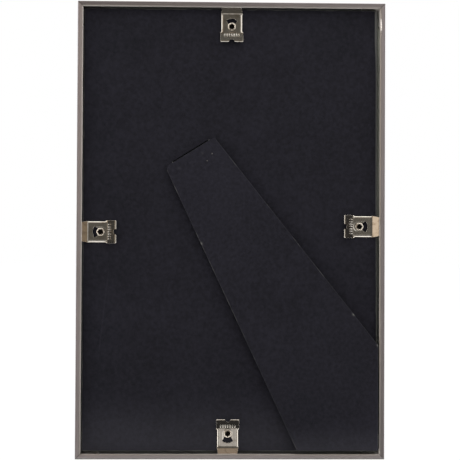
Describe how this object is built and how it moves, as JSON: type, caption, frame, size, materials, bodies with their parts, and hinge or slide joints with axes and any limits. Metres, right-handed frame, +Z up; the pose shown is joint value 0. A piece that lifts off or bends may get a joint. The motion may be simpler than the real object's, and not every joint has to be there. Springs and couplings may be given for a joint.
{
  "type": "table-top picture frame",
  "caption": "Slim metal picture frame with glass front, black flock-covered back held by sliding spring clips, and a hinged diagonal easel strut for standing it up either way.",
  "frame": {"origin": "middle of the bottom rail's underside, where the frame stands in portrait", "axes": "+Z up along the height, +Y out of the back, so the glass faces -Y; left and right in node names are as seen from the back, so right is -X"},
  "size_m": [0.2074, 0.0134, 0.3075],
  "materials": {
    "rail_metal": "satin, fine drawn lines along each rail",
    "key_metal": "plain stamped steel",
    "nickel": "bright nickel plate on stamped steel",
    "hinge_steel": "plain steel",
    "glass": "clear float glass",
    "insert_paper": "plain pale sheet",
    "board": "dense dark greyboard",
    "flock": "black flock paper"
  },
  "bodies": {
    "frame": {"rail_top": "rail_metal", "rail_bottom": "rail_metal", "rail_left": "rail_metal", "rail_right": "rail_metal", "corner_key_top_left": "key_metal", "corner_key_top_right": "key_metal", "corner_key_bottom_left": "key_metal", "corner_key_bottom_right": "key_metal", "glass_pane": "glass", "picture_insert": "insert_paper", "backing_board": "board", "backing_cover": "flock", "eyelet_top": "nickel", "eyelet_bottom": "nickel", "eyelet_left": "nickel", "eyelet_right": "nickel", "hinge_board_leaf": "hinge_steel", "hinge_pin": "hinge_steel"},
    "strut": {"strut_board": "board", "strut_cover": "flock", "hinge_strut_leaf": "hinge_steel"},
    "clip_top": {"clip_top": "nickel"},
    "clip_bottom": {"clip_bottom": "nickel"},
    "clip_left": {"clip_left": "nickel"},
    "clip_right": {"clip_right": "nickel"}
  },
  "joints": [
    {"name": "strut_swing", "type": "hinge", "parent": "frame", "child": "strut", "pos_m": [0.02685, 0.00208, 0.20615], "axis": [0.848, 0, -0.5299], "range_deg": [-1, 34]},
    {"name": "clip_top_slide", "type": "slide", "parent": "frame", "child": "clip_top", "axis": [0, 0, -1], "range_m": [-0.00085, 0.00215]},
    {"name": "clip_bottom_slide", "type": "slide", "parent": "frame", "child": "clip_bottom", "axis": [0, 0, 1], "range_m": [0, 0.003]},
    {"name": "clip_left_slide", "type": "slide", "parent": "frame", "child": "clip_left", "axis": [-1, 0, 0], "range_m": [-0.0009, 0.0021]},
    {"name": "clip_right_slide", "type": "slide", "parent": "frame", "child": "clip_right", "axis": [1, 0, 0], "range_m": [-0.0007, 0.0023]}
  ]
}
